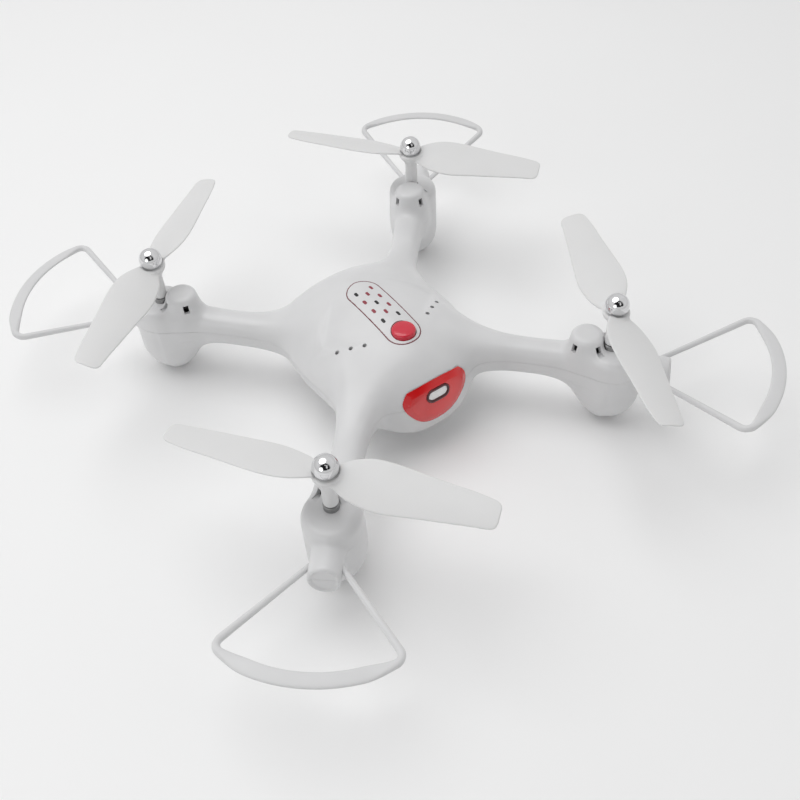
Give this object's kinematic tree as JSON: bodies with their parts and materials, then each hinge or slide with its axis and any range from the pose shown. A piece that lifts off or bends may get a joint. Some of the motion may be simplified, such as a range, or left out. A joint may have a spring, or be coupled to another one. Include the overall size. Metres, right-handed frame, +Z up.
{
  "type": "quadcopter drone",
  "caption": "Small white toy quadcopter with geared rotors, bow-shaped propeller guards, chrome spinner caps, a red visor over the camera and a red power button.",
  "frame": {"origin": "on the floor, under the middle of the four feet", "axes": "+Z up; the camera looks along -Y; the drone's own left side is +X"},
  "size_m": [0.2309, 0.2418, 0.0582],
  "materials": {
    "shell_white": "satin white ABS",
    "guard_white": "satin white nylon",
    "prop_white": "milky white, slightly translucent",
    "visor_red": "glossy translucent red",
    "bezel_maroon": "gloss dark maroon",
    "window_white": "gloss white",
    "trim_maroon": "gloss maroon",
    "mark_dark": "matt black",
    "mark_red": "matt dark red",
    "button_red": "gloss red",
    "chrome": "bright chrome plating",
    "steel": "ground steel",
    "screw_steel": "zinc-plated",
    "motor_steel": "drawn steel can",
    "pinion_brass": "machined brass",
    "bush_grey": "sintered steel",
    "gear_nylon": "natural nylon",
    "foot_rubber": "soft grey",
    "board_green": "solder mask",
    "chip_black": "moulded black",
    "battery_wrap": "blue wrap",
    "connector_white": "moulded nylon"
  },
  "bodies": {
    "airframe": {"top_shell": "shell_white", "bottom_shell": "shell_white", "visor": "visor_red", "camera_bezel": "bezel_maroon", "camera_window": "window_white", "panel_trim": "trim_maroon", "panel_marks_dark": "mark_dark", "panel_marks_red": "mark_red", "flight_control_board": "board_green", "control_chips": "chip_black", "button_switch": "chip_black", "battery_pack": "battery_wrap", "battery_connector": "connector_white", "camera_module": "chip_black", "door_hinge_pin": "steel", "shell_screws": "screw_steel", "guard_screws": "screw_steel", "board_screws": "screw_steel", "motor_can_fl": "motor_steel", "shaft_bushes_fl": "bush_grey", "foot_pad_fl": "foot_rubber", "prop_guard_fl": "guard_white", "motor_can_fr": "motor_steel", "shaft_bushes_fr": "bush_grey", "foot_pad_fr": "foot_rubber", "prop_guard_fr": "guard_white", "motor_can_rl": "motor_steel", "shaft_bushes_rl": "bush_grey", "foot_pad_rl": "foot_rubber", "prop_guard_rl": "guard_white", "motor_can_rr": "motor_steel", "shaft_bushes_rr": "bush_grey", "foot_pad_rr": "foot_rubber", "prop_guard_rr": "guard_white"},
    "power_button": {"power_button": "button_red"},
    "battery_door": {"battery_door": "shell_white"},
    "rotor_fl": {"propeller_fl": "prop_white", "spinner_cap_fl": "chrome", "prop_shaft_fl": "steel", "drive_gear_fl": "gear_nylon"},
    "pinion_fl": {"motor_pinion_fl": "pinion_brass"},
    "rotor_fr": {"propeller_fr": "prop_white", "spinner_cap_fr": "chrome", "prop_shaft_fr": "steel", "drive_gear_fr": "gear_nylon"},
    "pinion_fr": {"motor_pinion_fr": "pinion_brass"},
    "rotor_rl": {"propeller_rl": "prop_white", "spinner_cap_rl": "chrome", "prop_shaft_rl": "steel", "drive_gear_rl": "gear_nylon"},
    "pinion_rl": {"motor_pinion_rl": "pinion_brass"},
    "rotor_rr": {"propeller_rr": "prop_white", "spinner_cap_rr": "chrome", "prop_shaft_rr": "steel", "drive_gear_rr": "gear_nylon"},
    "pinion_rr": {"motor_pinion_rr": "pinion_brass"}
  },
  "joints": [
    {"name": "power_button_press", "type": "slide", "parent": "airframe", "child": "power_button", "axis": [0, 0, -1], "range_m": [0, 0.0008], "stiffness_N_per_m": 300, "springref_m": -0.0006},
    {"name": "battery_door_swing", "type": "hinge", "parent": "airframe", "child": "battery_door", "pos_m": [-0.014, 0.0327, 0.0232], "axis": [0, 0, 1], "range_deg": [0, 95]},
    {"name": "propeller_fl_spin", "type": "hinge", "parent": "airframe", "child": "rotor_fl", "pos_m": [0.06, -0.0625, 0.03], "axis": [0, 0, 1], "continuous": true},
    {"name": "pinion_fl_spin", "type": "hinge", "parent": "airframe", "child": "pinion_fl", "pos_m": [0.05431, -0.05586, 0.018], "axis": [0, 0, 1], "continuous": true},
    {"name": "propeller_fr_spin", "type": "hinge", "parent": "airframe", "child": "rotor_fr", "pos_m": [-0.06, -0.0625, 0.03], "axis": [0, 0, 1], "continuous": true},
    {"name": "pinion_fr_spin", "type": "hinge", "parent": "airframe", "child": "pinion_fr", "pos_m": [-0.05431, -0.05586, 0.018], "axis": [0, 0, 1], "continuous": true},
    {"name": "propeller_rl_spin", "type": "hinge", "parent": "airframe", "child": "rotor_rl", "pos_m": [0.06, 0.0625, 0.03], "axis": [0, 0, 1], "continuous": true},
    {"name": "pinion_rl_spin", "type": "hinge", "parent": "airframe", "child": "pinion_rl", "pos_m": [0.05431, 0.05586, 0.018], "axis": [0, 0, 1], "continuous": true},
    {"name": "propeller_rr_spin", "type": "hinge", "parent": "airframe", "child": "rotor_rr", "pos_m": [-0.06, 0.0625, 0.03], "axis": [0, 0, 1], "continuous": true},
    {"name": "pinion_rr_spin", "type": "hinge", "parent": "airframe", "child": "pinion_rr", "pos_m": [-0.05431, 0.05586, 0.018], "axis": [0, 0, 1], "continuous": true}
  ],
  "couplings": [
    {"joint": "pinion_fl_spin", "follows": "propeller_fl_spin", "ratio": -4.8333},
    {"joint": "pinion_fr_spin", "follows": "propeller_fr_spin", "ratio": -4.8333},
    {"joint": "pinion_rl_spin", "follows": "propeller_rl_spin", "ratio": -4.8333},
    {"joint": "pinion_rr_spin", "follows": "propeller_rr_spin", "ratio": -4.8333}
  ]
}
